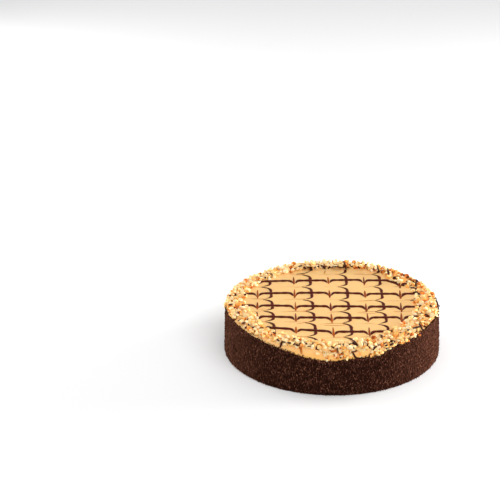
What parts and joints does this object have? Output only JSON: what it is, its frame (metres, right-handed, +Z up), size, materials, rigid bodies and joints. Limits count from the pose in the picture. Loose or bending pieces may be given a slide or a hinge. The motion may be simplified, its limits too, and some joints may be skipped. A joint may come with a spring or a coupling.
{
  "type": "round layer torte",
  "caption": "Whole round nut and poppy seed torte: dark crumb-coated side, caramel icing feathered with chocolate lines, rim of chopped roasted nuts.",
  "frame": {"origin": "centre of the flat base, on the surface the torte rests on", "axes": "+Z up along the torte's height; the pattern's rows run along X, and their points are dragged toward -Y, the front"},
  "size_m": [0.2243, 0.2244, 0.0534],
  "materials": {
    "crumb_coat": "dry dark chocolate crumbs, matt and grainy",
    "icing": "smooth caramel icing with a soft sheen",
    "chopped_nuts": "chopped roasted nuts, pale broken faces and browned edges",
    "chocolate": "set dark chocolate lines with a slight sheen"
  },
  "bodies": {
    "root": {"crumb_coated_cake": "crumb_coat", "iced_top": "icing"}
  },
  "joints": []
}
